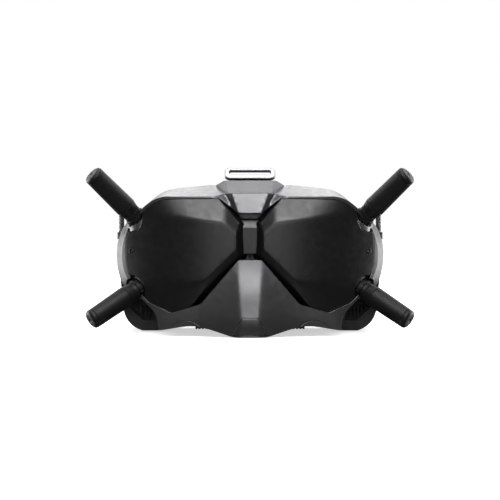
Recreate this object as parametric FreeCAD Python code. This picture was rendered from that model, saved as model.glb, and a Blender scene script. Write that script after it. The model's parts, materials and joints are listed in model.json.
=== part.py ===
"""FPV goggles: a light grey front mask with a faceted black visor, four folding stub antennas at its corners,
a black rear housing with two sliding eyepieces, a foam face pad, strap loops, controls and ports.

Frame: +X to the wearer's left, +Y towards the wearer's face, +Z up; the origin is at the bottom centre of the box.
Places are written as (x, depth, z), where depth counts backwards from the frontmost plane; v() turns them into
frame coordinates. Outlines are half outlines from the top centre round the +X side to the bottom centre.
"""

import math
import os

import FreeCAD
import Part

Vector = FreeCAD.Vector

# ---------------------------------------------------------------- driving dimensions (mm)
DEPTH = 122.0  # front of the nose to the rear of the face pad
WALL = 2.4  # mask shell
RIM_LAP = 1.4  # the housing's flange reaches this much further in than the mask's wall
COVER_WALL = 2.2  # visor
HOUSING_WALL = 2.2  # rear housing
TRIM_WALL = 1.1  # panels let into the mask
SEAM = 0.45  # gap round those panels
BOARD_WALL = 1.6
GAP = 0.25  # visor edge to mask
HOUSING_END = 100.0  # depth where the housing's taper would end
HOUSING_CENTRE, HOUSING_SIDE = 86.0, 98.0  # rear rim of the housing, at the middle and at the temples
PAD_CENTRE = 108.0  # rear of the face pad at the middle
TEMPLE_X = 83.75  # half width of the face pad
NOTCH_DEPTH = 72.0  # front of the room for the wearer's nose
SCREW_R, SCREW_HEAD_R = 1.0, 2.0
BUTTON_R, BUTTON_PROUD = 2.6, 0.9
JACKS = {"av_in": (43.0, 3.4), "audio": (34.5, 3.4), "power": (24.5, 4.6)}  # (height, radius)
PLUG_R, PLUG_LENGTH = 1.8, 12.0  # bore of the two 3.5 mm sockets
POWER_R, POWER_LENGTH, POWER_PIN_R = 2.8, 9.5, 1.05
USB_Z, CARD_Z, DISPLAY_Z = 27.5, 18.4, 58.0  # heights of the port, the card slot and the channel display
STICK_X, STICK_Z, STICK_HOLE_R = 85.6, 57.0, 5.3  # pivot of the five way control, and its hole
SLIDER_HALF = 4.0  # half width of the pupil distance slider's stem
MASK_REAR = 62.0  # depth where the mask ends and the rear housing starts
EYE_X = 32.0  # half the pupil distance at rest
EYE_Z = 57.0  # height of the optical axes
IPD_TRAVEL = 3.0  # each eyepiece slides this far either way
BARREL_R = 19.0  # eyepiece barrel
BARREL_WALL = 1.8
BARREL_FRONT, BARREL_REAR = 45.5, 80.0
LENS_SEAT, LENS_REAR, LENS_CURVE = 75.0, 79.4, 48.0  # front and rear of each lens, and its rear's radius
PANEL_THICK, PANEL_HALF_WIDTH, PANEL_HALF_HEIGHT = 3.2, 16.0, 14.0
LENS_PLATE, LENS_PLATE_THICK = 74.0, 2.0  # depth of the lens plate's front face
BOARD_DEPTH = 34.0  # depth of the main board's front face
BOARD_HALF_WIDTH, BOARD_LOW, BOARD_HIGH = 57.0, 26.0, 89.0
CHIP_THICK = 1.4
SINK_HALF_WIDTH, SINK_LOW, SINK_HIGH = 20.0, 56.0, 73.0
SINK_BASE, SINK_HEIGHT, FIN_THICK, FIN_PITCH, FINS = 3.0, 10.0, 1.4, 3.86, 11

# Antennas: rim centre of each mask boss, direction seen from the front, and lean towards the front
UPPER_RIM, UPPER_ANGLE, UPPER_LEAN, UPPER_LENGTH = (76.8, 30.0, 79.0), 46.0, 22.0, 44.9
LOWER_RIM, LOWER_ANGLE, LOWER_LEAN, LOWER_LENGTH = (75.4, 30.0, 31.9), -34.0, 26.0, 42.2
BOSS_R, BOSS_FLARE, BOSS_BORE = 8.7, 10.6, 3.3  # the boss flares from its rim to where it meets the visor
BOSS_SLOPE, BOSS_LENGTH = 1.8, 11.0  # length of that flare, and of the whole boss
NUT_R, NUT_FROM, NUT_TO, NUT_GAP = 7.0, 0.3, 3.2, 0.7
BASE_FROM, BASE_TO, BASE_R = 3.4, 6.2, 6.2
PIVOT = 13.7  # hinge pin, along the antenna from the rim
TONGUE, TONGUE_R = 5.6, 4.4
KNURLS, KNURL_R = 16, 0.55  # grooves round each coupling nut
BARREL_FROM, ANTENNA_R, TIP_R = 6.4, 7.2, 6.7
HEEL_R, SEAM_AT, SEAM_WIDTH = 6.1, 5.4, 0.4  # narrow start of each barrel, and the seam line round it
ELEMENT_FROM, ELEMENT_BORE = 7.0, 4.6  # the radiating strip starts this far past the hinge
CAP_LENGTH, CAP_PLUG = 4.0, 2.0
HINGE_PIN_R = 1.2

TOP_LOOP_PIVOT = (51.0, 104.4)  # (depth, z) of the top strap loop's hinge
TOP_LOOP_TILT = 38.0  # the loop rises this much towards the back
SIDE_LOOP_PIVOT = (92.4, 79.0)  # (x, depth) of each side strap loop's hinge
SIDE_LOOP_Z = 67.0  # middle of each side loop
LOOP_PIN_R, PIN_PLAY = 1.5, 0.06  # hinge bars of the loops, and the running play of every pin
TOP_LOOP_FRAME, TOP_LOOP_WINDOW = (-17.5, 17.5, -2.2, 9.4), (-14.2, 14.2, 2.2, 6.9)  # x0, x1, y0, y1
TOP_LOOP_THICK, TOP_LOOP_RISE = 2.3, 2.8  # the frame's thickness, and its height over the hinge bar
SIDE_LOOP_FRAME, SIDE_LOOP_WINDOW = (0.0, 16.0, -15.5, 15.5), (1.5, 13.2, -12.5, 12.5)
SIDE_LOOP_THICK = 2.4
EAR_FROM, EAR_TO, EAR_R = 10.3, 14.6, 2.3  # ears that hold the top loop's bar
KNUCKLE_R, KNUCKLE_LENGTH, KNUCKLES_FROM = 2.6, 5.0, (-11.8, -3.0)  # of each side loop
ANCHOR_LOW, ANCHOR_HIGH = -12.0, 4.0  # ends of the knuckles' plate, from the middle of the loop
FAN_DEPTH, FAN_Z, FAN_SIZE, FAN_THICK = 46.0, 84.0, 26.0, 9.0
HUB_R, BLADES, BLADE_PITCH = 5.4, 9, 42.0
ROD_R, ROD_DEPTH = 1.5, 66.0  # rods that the eyepieces slide on
ROD_HEIGHTS = (34.5, 79.5)
CONTROL_DEPTH = 69.0  # the side controls and ports sit at this depth


def v(x, depth, z):
    return Vector(x, depth - DEPTH / 2, z)


# ---------------------------------------------------------------- outlines: (x, z)
def inset(points, distance):
    """The half outline moved inwards; its ends stay on the centre line."""
    before = (-points[1][0], points[1][1])
    after = (-points[-2][0], points[-2][1])
    ring = [before, *points, after]
    moved = []
    for (x0, z0), (x1, z1), (x2, z2) in zip(ring, ring[1:], ring[2:]):
        a, b = math.hypot(x1 - x0, z1 - z0), math.hypot(x2 - x1, z2 - z1)
        nx1, nz1 = (z1 - z0) / a, -(x1 - x0) / a
        nx2, nz2 = (z2 - z1) / b, -(x2 - x1) / b
        share = distance / (1 + nx1 * nx2 + nz1 * nz2)
        moved.append((x1 + (nx1 + nx2) * share, z1 + (nz1 + nz2) * share))
    moved[0] = (0.0, moved[0][1])
    moved[-1] = (0.0, moved[-1][1])
    return moved


def outline_wire(points, corners, depth):
    """Closed wire in the plane of that depth: straight between neighbouring corners, a smooth curve through
    the points that lie between two corners, and mirrored to the -X side."""
    edges = []
    for side in (1, -1):
        for first, last in zip(corners, corners[1:]):
            run = [v(side * x, depth, z) for x, z in points[first : last + 1]]
            if len(run) == 2:
                edges.append(Part.LineSegment(run[0], run[1]).toShape())
            else:
                curve = Part.BSplineCurve()
                curve.interpolate(run)
                edges.append(curve.toShape())
    return Part.Wire(Part.__sortEdges__(edges))


def prism(points, corners, front, rear):
    face = Part.Face(outline_wire(points, corners, front))
    return face.extrude(Vector(0, rear - front, 0))


def loft(sections, corners):
    """Ruled solid through (depth, half outline) sections."""
    return Part.makeLoft([outline_wire(p, corners, d) for d, p in sections], True, True)


def box(x0, x1, d0, d1, z0, z1):
    return Part.makeBox(x1 - x0, d1 - d0, z1 - z0, v(x0, d0, z0))


def rod(start, end, radius, inner=0.0):
    """Cylinder or tube between two points."""
    axis = end - start
    solid = Part.makeCylinder(radius, axis.Length, start, axis)
    if inner:
        solid = solid.cut(Part.makeCylinder(inner, axis.Length, start, axis))
    return solid


def mirrored(shape):
    return shape.mirror(Vector(0, 0, 0), Vector(1, 0, 0))


def pair(shape):
    return Part.makeCompound([shape, mirrored(shape)])


# Mask silhouette: at the front rim, over the brow, and at the rear edge
MASK_CORNERS = [0, 1, 2, 3, 10, 12, 16, 20, 21, 22]
MASK_FRONT = [
    (0, 95.6), (12.8, 95.6), (20.7, 93.9), (56.6, 93.2), (67.2, 89.6), (73.0, 84.9),
    (79.3, 73.5), (79.6, 65.1), (79.6, 57.4), (79.4, 49.7), (78.0, 42.0), (76.0, 33.5),
    (73.8, 25.8), (68.8, 20.4), (63.6, 14.6), (61.9, 8.6), (61.4, 3.9), (50.1, 5.6),
    (38.5, 6.9), (26.0, 4.6), (13.6, 0.7), (10.4, 0), (0, 0),
]
MASK_BROW = [
    (0, 100.6), (15.0, 100.6), (26.8, 102.1), (50.5, 99.7), (62.0, 95.8), (73.0, 86.6),
    (86.2, 74.4), (90.7, 64.5), (91.9, 56.0), (91.7, 47.5), (89.8, 38.5), (85.4, 30.5),
    (74.5, 25.0), (68.0, 20.4), (63.2, 14.6), (61.8, 8.0), (60.6, 2.6), (50.1, 4.9),
    (38.5, 6.2), (26.0, 4.3), (13.6, 0.7), (10.4, 0), (0, 0),
]
MASK_EDGE = [
    (0, 101.6), (17.0, 101.6), (28.0, 102.4), (50.5, 99.8), (62.0, 96.2), (73.5, 88.0),
    (87.2, 75.0), (92.2, 64.5), (93.4, 56.0), (93.2, 47.0), (91.4, 37.5), (87.0, 30.0),
    (74.5, 24.5), (68.0, 20.0), (63.2, 14.2), (61.8, 7.6), (60.6, 2.2), (50.1, 4.7),
    (38.5, 6.0), (26.0, 4.1), (13.6, 0.7), (10.4, 0), (0, 0),
]

# Visor outline
VISOR_CORNERS = [0, 1, 2, 3, 12, 14, 15, 16, 17, 18]
VISOR = [
    (0, 82.5), (7.9, 82.5), (20.9, 92.6), (55.7, 91.8), (65.8, 88.2), (71.7, 83.6),
    (77.5, 78.0), (82.1, 72.3), (83.9, 65.4), (84.3, 57.2), (84.1, 48.9), (82.2, 41.5),
    (77.5, 33.5), (72.5, 27.0), (67.6, 22.4), (52.9, 15.8), (33.2, 21.9), (7.9, 51.4),
    (0, 51.4),
]

# Rear housing: as the mask's edge, with a cheek at each lower corner
HOUSING_CORNERS = [0, 1, 2, 3, 10, 13, 14, 17, 18, 19]
HOUSING_FRONT = [
    (0, 101.4), (17.0, 101.4), (28.0, 102.2), (50.5, 99.6), (62.0, 96.0), (73.5, 87.8),
    (86.5, 74.6), (91.0, 64.4), (91.8, 56.0), (91.7, 47.0), (91.0, 34.0), (90.3, 24.0),
    (88.6, 12.6), (76.0, 0.0), (65.0, 0.0), (56.0, 2.2), (42, 4.4), (30, 4.4), (12, 4.4),
    (0, 4.4),
]
HOUSING_REAR = [
    (0, 98.0), (17.0, 98.0), (28.0, 98.6), (48.5, 96.4), (60.0, 92.6), (71.5, 84.6),
    (83.0, 72.4), (87.6, 62.8), (88.6, 55.0), (88.4, 46.0), (87.6, 34.0), (86.6, 25.0),
    (84.6, 13.5), (74.0, 0.0), (65.0, 0.0), (56.0, 2.4), (42, 4.6), (30, 4.6), (12, 4.6),
    (0, 4.6),
]

# Face pad ring, outer and inner, and the notch for the wearer's nose
PAD_CORNERS = [0, 15]
PAD_OUTER = [
    (0, 93.6), (27.0, 94.2), (46.0, 91.6), (61.0, 85.0), (75.0, 73.0), (83.0, 57.0),
    (83.2, 40.0), (79.5, 23.0), (71.0, 12.5), (58.0, 9.2), (43.0, 9.6), (30.0, 12.0),
    (23.5, 20.0), (19.0, 32.0), (11.0, 44.5), (0, 50.0),
]
PAD_INNER = [
    (0, 83.0), (24.0, 83.4), (44.0, 81.0), (56.0, 76.0), (66.0, 67.0), (70.5, 56.0),
    (70.0, 42.0), (66.5, 29.5), (59.0, 20.5), (50.0, 17.5), (41.0, 19.0), (33.0, 25.0),
    (27.5, 34.0), (20.5, 46.0), (10.0, 56.0), (0, 59.0),
]
NOSE_CORNERS = [0, 3, 4, 5]
NOSE_NOTCH = [(0, 44.5), (7.5, 41.0), (13.5, 30.0), (17.5, 14.0), (19.5, -3.0), (0, -3.0)]

# Block that carries the top strap loop: (depth, z) from the side, (x, z) from the front, (x, depth) from above
BRACKET_PROFILE = [(15.5, 93), (15.5, 96), (20.5, 104.6), (46.0, 104.8), (47.4, 102.8), (56, 102.8), (56, 93)]
BRACKET_SHOULDER = [(0, 105.2), (16.4, 105.2), (23.2, 101.9), (23.2, 92.0), (0, 92.0)]
BRACKET_PLAN = [(14.6, 15.0), (23.2, 40.0), (23.2, 57.0)]

# Air intake in each lower cheek of the housing
INTAKE = [(66.8, 7.4), (75.0, 7.4), (84.4, 16.0), (85.2, 25.0), (77.0, 22.4), (68.6, 17.0)]

# Bridge between the eye domes: the upright, and the facet above it that slopes back under the wedge
BRIDGE_UPRIGHT = [(0, 72.9), (5.1, 72.9), (4.1, 55.5), (0, 55.5)]
BRIDGE_TOP = [(0, 78.9), (7.9, 78.9), (7.0, 72.7), (0, 72.7)]
BRIDGE_DEPTH, BRIDGE_LEAN = 12.9, 2.6
VALLEY_DEPTH, VALLEY_HALF = 17.6, 24.0  # floor of the valley behind the bridge, and its half width


# ---------------------------------------------------------------- front surfaces: depth as a function of (x, z)
def smooth_max(a, b, blend):
    h = max(blend - abs(a - b), 0) / blend
    return max(a, b) + h * h * blend / 4


def smooth_min(a, b, blend):
    return -smooth_max(-a, -b, blend)


def ease(t):
    t = min(max(t, 0.0), 1.0)
    return t * t * (3 - 2 * t)


def wrap_depth(x):
    """The rim that the visor sits in: nearly flat in the middle, wrapping back at the temples."""
    return 12.5 + 15.5 * (abs(x) / 84.0) ** 4.5


def nose_depth(x, z):
    """A ridge with a flat middle strip, steepest at its top, and two flanks that fall back to the cheeks."""
    if z > 12:
        middle = 11.8 * (min(z - 12, 60) / 39.0) ** 1.5
    else:
        middle = 0.017 * (12 - z) ** 2
    strip = 6.3 + 1.6 * (z - 14.0) / 37.0
    return smooth_max(middle, middle + 0.42 * (abs(x) - strip), 0.8)


def forehead_depth(x, z):
    """A wedge over the bridge, widening upwards and standing proud of the valley between the brows."""
    rise = z - 82.5
    wedge = 8.6 + 0.3 * rise
    wedge = smooth_max(wedge, wedge + 1.0 * (abs(x) - (7.9 + 0.37 * rise)), 0.4)
    valley = 13.4 - 0.286 * (abs(x) - 20.9) + 0.64 * (z - 92.8)
    return smooth_min(wedge, smooth_max(wrap_depth(x), valley, 1.0), 0.5)


def mask_depth(x, z):
    lower = smooth_min(wrap_depth(x), nose_depth(x, z), 7.0)
    upper = forehead_depth(x, z)
    share = ease((z - 56.0) / 18.0)
    return lower * (1 - share) + upper * share


def visor_depth(x, z):
    """Two faceted eye domes with a deep valley between them, which the bridge stands in."""
    x = abs(x)
    front = 5.2 + 22.0 * (max(x - 6.0, 0) / 78.0) ** 2.6
    rim = wrap_depth(x) + 0.2
    top_edge = 76.8 + 0.131 * (x - 19.0) if x < 58 else 81.9 - 0.09 * (x - 58)
    top = front + (rim - front + 0.4) * (z - top_edge) / (92.2 - top_edge)
    low_edge = 36.0 + 0.010 * (x - 42.0) ** 2
    low = front + (rim - front + 0.6) * (low_edge - z) / 18.5
    flank = -0.694 * (x - 9.5) - 0.719 * (z - 57.5)
    brow = -0.628 * (x - 7.9) + 0.778 * (z - 82.3)
    groove = max(3.6 - 0.17 * (x - 7.9), 1.2)  # wide under the wedge, narrowing along the brow
    depth = smooth_max(front, top, 0.8)
    depth = smooth_max(depth, low, 0.8)
    for wall in (
        front + 0.75 * flank,
        6.6 + 2.4 * (flank - 3.2),
        front + 0.62 * (brow + 10.5),
        9.0 + 3.6 * (brow + groove),
        5.2 + 2.0 * (8.6 - x),
    ):
        depth = smooth_max(depth, wall, 0.8)
    return smooth_min(depth, VALLEY_DEPTH + 2.0 * max(x - VALLEY_HALF, 0), 1.2)


def front_slab(depth_at, thickness, step, x0=-100.0, x1=100.0, z0=-6.0, z1=112.0):
    """Slab behind the surface depth_at, as one smooth patch over the window x0..x1, z0..z1."""
    columns = round((x1 - x0) / step)
    rows = round((z1 - z0) / step)
    grid = []
    for c in range(columns + 1):
        x = x0 + (x1 - x0) * c / columns
        heights = [z0 + (z1 - z0) * r / rows for r in range(rows + 1)]
        grid.append([v(x, depth_at(x, z), z) for z in heights])
    surface = Part.BSplineSurface()
    surface.interpolate(grid)
    return surface.toShape().extrude(Vector(0, thickness, 0))


def before_curve(at_centre, at_temple):
    """Block in front of a curved surface, which runs deeper towards the temples."""
    reach = 110.0
    edge = at_centre + (at_temple - at_centre) * (reach / TEMPLE_X) ** 2
    curve = Part.BezierCurve()
    curve.setPoles([v(-reach, edge, -10), v(0, 2 * at_centre - edge, -10), v(reach, edge, -10)])
    corners = [v(reach, edge, -10), v(reach, -20, -10), v(-reach, -20, -10), v(-reach, edge, -10)]
    sides = Part.makePolygon(corners)
    return Part.Face(Part.Wire([curve.toShape(), *sides.Edges])).extrude(Vector(0, 0, 130))


# ---------------------------------------------------------------- antenna axes
def antenna_axis(upper, side):
    """(rim centre, direction along the antenna, hinge direction) of one corner."""
    rim, angle, lean = (UPPER_RIM, UPPER_ANGLE, UPPER_LEAN) if upper else (LOWER_RIM, LOWER_ANGLE, LOWER_LEAN)
    a, f = math.radians(angle), math.radians(lean)
    along = Vector(side * math.cos(a) * math.cos(f), -math.sin(f), math.sin(a) * math.cos(f))
    hinge = along.cross(Vector(0, 1, 0)).normalize()
    return v(side * rim[0], rim[1], rim[2]), along, hinge


CORNERS = {
    "upper_right": (True, -1),
    "upper_left": (True, 1),
    "lower_right": (False, -1),
    "lower_left": (False, 1),
}


def on_axis(corner, start, end, radius, inner=0.0):
    rim, along, _ = antenna_axis(*corner)
    return rod(rim + along * start, rim + along * end, radius, inner)


# ---------------------------------------------------------------- small helpers
def biggest(shape):
    return max(shape.Solids, key=lambda s: s.Volume)


def joined(first, *others):
    for other in others:
        first = first.fuse(other)
    return first


def side_x(depth, z):
    """Half width of the rear housing at a place on its side."""
    def width(points):
        for (xa, za), (xb, zb) in zip(points[4:], points[5:]):
            if zb <= z <= za:
                return xa + (xb - xa) * (za - z) / (za - zb)
        raise ValueError(z)

    share = (depth - MASK_REAR) / (HOUSING_END - MASK_REAR)
    return width(HOUSING_FRONT) * (1 - share) + width(HOUSING_REAR) * share


# ---------------------------------------------------------------- front shells
def mask_sections(distance, front=-6.0, rear=MASK_REAR):
    sections = ((front, MASK_FRONT), (12.0, MASK_FRONT), (42.0, MASK_BROW), (rear, MASK_EDGE))
    return [(depth, inset(points, distance)) for depth, points in sections]


def visor_prism(outset):
    """Everything inside the visor's outline, with its corners rounded."""
    points = inset(VISOR, -outset)
    solid = prism(points, VISOR_CORNERS, -10, 60)
    for index, radius in {2: 1.6, 14: 3.0, 15: 5.0, 16: 5.0, 17: 1.2}.items():
        for side in (1, -1):
            x, z = points[index]
            edges = [
                edge
                for edge in solid.Edges
                if all(math.hypot(end.X - side * x, end.Z - z) < 0.01 for end in edge.Vertexes)
            ]
            solid = solid.makeFillet(radius, edges)
    return solid


def nose_insert(outset=0.0, proud=0.0):
    """Trapezoid panel let into the tip of the nose. Its pocket is the same, with an outset, and open in front."""
    half = [(0, 12.8 + outset), (4.8 + outset, 12.8 + outset), (12.2 + outset, 1.5 - outset), (0, 1.5 - outset)]
    skin = front_slab(lambda x, z: nose_depth(x, z) - proud, TRIM_WALL + proud, 1.0, -16, 16, -2, 17)
    return biggest(prism(half, [0, 1, 2, 3], -6, 8).common(skin))


def lower_trim(outset=0.0, proud=0.0):
    """Arched strip under each eye, let into the lower edge of the mask. Its pocket is open in front and below."""
    top = [v(55.4 + outset, -4, 2.6), v(45.0, -4, 10.4 + outset), v(30.4 - outset, -4, 2.4)]
    arch = Part.Arc(*top).toShape()
    bottom = Part.makePolygon([top[2], v(30.4 - outset, -4, -3), v(55.4 + outset, -4, -3), top[0]])
    region = Part.Face(Part.Wire([arch, *bottom.Edges])).extrude(Vector(0, 60, 0))
    skin = front_slab(lambda x, z: mask_depth(x, z) - proud, TRIM_WALL + proud, 1.5, 26, 62, -4, 14)
    strip = region.common(skin)
    return biggest(strip if proud else strip.common(mask_outer_loft()))


def mask_outer_loft():
    return loft(mask_sections(0.0), MASK_CORNERS)


def screw_place(side):
    """Head of the screw by each temple, and the direction that it faces."""
    x, z = 80.6, 57.2
    return v(side * x, visor_depth(x, z), z), Vector(side * 0.567, -0.823, 0)


def boss(corner):
    """Socket at a corner of the mask: a flare that the visor is notched around, and its tube inside."""
    rim, along, _ = antenna_axis(*corner)
    flare = Part.makeCone(BOSS_FLARE, BOSS_R, BOSS_SLOPE, rim - along * BOSS_SLOPE, along)
    return flare.fuse(on_axis(corner, -BOSS_LENGTH, -BOSS_SLOPE, BOSS_FLARE))


def mask_shell():
    outer = mask_outer_loft().common(front_slab(mask_depth, 150, 1.7))
    hollow = loft(mask_sections(WALL, rear=MASK_REAR + 1), MASK_CORNERS)
    hollow = hollow.common(front_slab(lambda x, z: mask_depth(x, z) + WALL, 150, 3.0))
    shell = outer.cut(hollow).cut(visor_prism(GAP))
    for corner in CORNERS.values():
        shell = shell.fuse(boss(corner))
        shell = shell.cut(on_axis(corner, 0, 16, BOSS_R + 0.6))
        shell = shell.cut(on_axis(corner, -12, 1, BOSS_BORE)).cut(on_axis(corner, -1.0, 2, NUT_R + NUT_GAP))
    for side in (1, -1):
        place, out = screw_place(side)
        rib = box(75.0, 86.0, 31.5, 35.5, 55.7, 58.7)
        post = rod(place - out * (COVER_WALL + 0.4), place - out * 8.5, 3.0)
        shell = joined(shell, post, rib if side == 1 else mirrored(rib))
        shell = shell.cut(rod(place, place - out * 7.5, SCREW_R))
    vents = [box(3.6 * n - 1.0, 3.6 * n + 1.0, 57.5, 60.2, 95, 110) for n in range(-3, 4)]
    shell = shell.cut(Part.makeCompound(vents))
    pocket = lower_trim(SEAM, 3.0)
    shell = shell.cut(nose_insert(SEAM, 3.0)).cut(pocket).cut(mirrored(pocket))
    return biggest(shell)


def front_visor():
    half = front_slab(visor_depth, COVER_WALL, 1.15, 0.0, 88.0, 10.0, 97.0)
    half = half.common(visor_prism(0.0).common(box(0, 100, -20, 70, 0, 110)))
    for name, corner in CORNERS.items():
        if corner[1] == 1:
            half = half.cut(on_axis(corner, -20, 20, BOSS_FLARE + 0.3))
    place, out = screw_place(1)
    half = half.cut(rod(place - out * 1.2, place + out * 3, SCREW_HEAD_R + 0.15))
    half = biggest(half.cut(rod(place - out * 5, place + out * 3, SCREW_R + 0.1)))
    return half.fuse(mirrored(half)).fuse(bridge())


def bridge():
    """Upright and top facet between the eye domes, with their roots in the valley's floor."""
    back = VALLEY_DEPTH + COVER_WALL / 2
    upright = prism(BRIDGE_UPRIGHT, [0, 1, 2, 3], BRIDGE_DEPTH, back)
    low, high = BRIDGE_TOP[2][1], BRIDGE_TOP[1][1]
    slope = [
        v(-10, BRIDGE_DEPTH, low),
        v(-10, BRIDGE_DEPTH + BRIDGE_LEAN, high),
        v(-10, back, high),
        v(-10, back, low),
    ]
    facet = Part.Face(Part.makePolygon([*slope, slope[0]])).extrude(Vector(20, 0, 0))
    return upright.fuse(facet.common(prism(BRIDGE_TOP, [0, 1, 2, 3], 0, 30)))


def visor_screws():
    place, out = screw_place(1)
    head = rod(place - out * 1.2, place + out * 0.1, SCREW_HEAD_R)
    socket = rod(place - out * 0.7, place + out, 0.8)
    return pair(head.fuse(rod(place - out * 7.2, place, SCREW_R)).cut(socket))


# ---------------------------------------------------------------- rear shells
def housing_loft(distance):
    sections = [(MASK_REAR, inset(HOUSING_FRONT, distance)), (HOUSING_END, inset(HOUSING_REAR, distance))]
    return loft(sections, HOUSING_CORNERS)


def nose_notch(outset, front):
    """Room for the wearer's nose under the bridge."""
    points = inset(NOSE_NOTCH, -outset)
    points[-2] = (points[-2][0], -4.0)
    points[-1] = (0, -4.0)
    return prism(points, NOSE_CORNERS, front, 130)


def intake_prism(outset, front, rear):
    cx = sum(x for x, z in INTAKE) / len(INTAKE)
    cz = sum(z for x, z in INTAKE) / len(INTAKE)
    ring = []
    for x, z in INTAKE:
        reach = math.hypot(x - cx, z - cz)
        ring.append(v(x + outset * (x - cx) / reach, front, z + outset * (z - cz) / reach))
    face = Part.Face(Part.makePolygon([*ring, ring[0]]))
    return face.extrude(Vector(0, rear - front, 0))


def intake_grilles():
    front = MASK_REAR + 1.2
    plate = intake_prism(-0.15, front, front + 1.1)
    for n in range(6):
        x = 69.6 + 2.7 * n
        low = 9.0 if x < 75.5 else 9.0 + (x - 75.5) * 0.96
        high = 15.6 + (x - 69.6) * 0.52
        plate = plate.cut(box(x - 0.7, x + 0.7, front - 1, front + 3, low, high))
    return pair(plate)


def rear_outer():
    return housing_loft(0.0).common(before_curve(HOUSING_CENTRE, HOUSING_SIDE))


def rear_housing(outer):
    hollow = housing_loft(HOUSING_WALL).common(box(-120, 120, MASK_REAR + HOUSING_WALL, 130, -10, 120))
    mouth = inset(MASK_EDGE, WALL + RIM_LAP)
    hollow = hollow.fuse(prism(mouth, MASK_CORNERS, MASK_REAR - 1, MASK_REAR + HOUSING_WALL))
    shell = outer.cut(hollow).cut(nose_notch(HOUSING_WALL, NOTCH_DEPTH - HOUSING_WALL))
    intake = intake_prism(0.0, MASK_REAR - 1, MASK_REAR + 4)
    for tool in (intake, mirrored(intake), *wall_tools()):
        shell = shell.cut(tool)
    for side in (1, -1):
        shell = shell.cut(slider_slot(side))
    return biggest(shell)


def nose_bridge_cover(outer):
    """Arched wall over the wearer's nose, set into the housing's floor."""
    arch = nose_notch(HOUSING_WALL, NOTCH_DEPTH - HOUSING_WALL).cut(nose_notch(0.0, NOTCH_DEPTH))
    return biggest(arch.common(outer))


def slider_slot(side):
    """Slot in the housing's floor that the pupil distance slider's stem runs in."""
    reach = SLIDER_HALF + IPD_TRAVEL + 0.4
    return box(side * EYE_X - reach, side * EYE_X + reach, 63.9, 67.9, -2, 12)


def lens_plate():
    inner = housing_loft(HOUSING_WALL + 0.15)
    plate = inner.common(box(-120, 120, LENS_PLATE, LENS_PLATE + LENS_PLATE_THICK, -10, 120))
    plate = plate.cut(nose_notch(HOUSING_WALL + 0.15, NOTCH_DEPTH - HOUSING_WALL - 1))
    front = LENS_PLATE - 1
    for side in (1, -1):
        x = side * EYE_X
        reach = IPD_TRAVEL
        hole = joined(
            rod(v(x - reach, front, EYE_Z), v(x - reach, 80, EYE_Z), BARREL_R + 0.4),
            rod(v(x + reach, front, EYE_Z), v(x + reach, 80, EYE_Z), BARREL_R + 0.4),
            box(x - reach, x + reach, front, 80, EYE_Z - BARREL_R - 0.4, EYE_Z + BARREL_R + 0.4),
        )
        plate = plate.cut(hole)
        for z in ROD_HEIGHTS:
            holder = box(59.0, 63.5, ROD_DEPTH - 3, LENS_PLATE + 0.5, z - 3, z + 3)
            plate = plate.fuse(holder if side == 1 else mirrored(holder))
            plate = plate.cut(rod(v(side * 58, ROD_DEPTH, z), v(side * 62.0, ROD_DEPTH, z), ROD_R))
        for z in (30.0, 85.5):
            post = rod(v(side * 50, BOARD_DEPTH + BOARD_WALL, z), v(side * 50, LENS_PLATE + 0.5, z), 2.5)
            plate = plate.fuse(post)
    return plate


def ipd_rods():
    return Part.makeCompound([rod(v(-62, ROD_DEPTH, z), v(62, ROD_DEPTH, z), ROD_R) for z in ROD_HEIGHTS])


def pad_ring(points_outer, points_inner):
    outer = prism(points_outer, PAD_CORNERS, 60, 130)
    return outer.cut(prism(points_inner, PAD_CORNERS, 59, 131))


def pad_frame():
    """Thin wall that closes the housing's rear around the eye opening."""
    plate = housing_loft(HOUSING_WALL + 0.15).common(before_curve(HOUSING_CENTRE - 1, HOUSING_SIDE - 1))
    plate = plate.cut(before_curve(HOUSING_CENTRE - 3, HOUSING_SIDE - 3))
    plate = plate.cut(prism(inset(PAD_INNER, -0.5), PAD_CORNERS, 59, 131))
    return biggest(plate.cut(nose_notch(HOUSING_WALL + 0.15, NOTCH_DEPTH - 4)))


def face_pad():
    ring = pad_ring(PAD_OUTER, PAD_INNER).common(before_curve(PAD_CENTRE, DEPTH))
    return ring.cut(before_curve(HOUSING_CENTRE - 1, HOUSING_SIDE - 1))


# ---------------------------------------------------------------- strap fittings
def strap_bracket():
    """Raised block behind the wedge: a steep front face that widens upwards, chamfered shoulders, and ears for
    the top strap loop."""
    depth, z = TOP_LOOP_PIVOT
    ring = [v(-30, d, h) for d, h in BRACKET_PROFILE]
    block = Part.Face(Part.makePolygon([*ring, ring[0]])).extrude(Vector(60, 0, 0))
    block = block.common(prism(BRACKET_SHOULDER, [0, 1, 2, 3, 4], 10, 60))
    plan = [v(side * x, d, 90) for side, row in ((1, BRACKET_PLAN), (-1, BRACKET_PLAN[::-1])) for x, d in row]
    block = block.common(Part.Face(Part.makePolygon([*plan, plan[0]])).extrude(Vector(0, 0, 20)))
    block = block.cut(mask_outer_loft())
    block = biggest(block)
    for side in (1, -1):
        ear = joined(
            rod(v(side * EAR_FROM, depth, z), v(side * EAR_TO, depth, z), EAR_R),
            box(*sorted((side * EAR_FROM, side * EAR_TO)), depth - EAR_R, depth + EAR_R, 102.4, z),
        )
        hole = rod(v(side * 10, depth, z), v(side * 13.4, depth, z), LOOP_PIN_R + PIN_PLAY)
        block = block.fuse(ear).cut(hole)
    return block.cut(rod(v(-10.2, depth, z), v(10.2, depth, z), 2.5))


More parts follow.
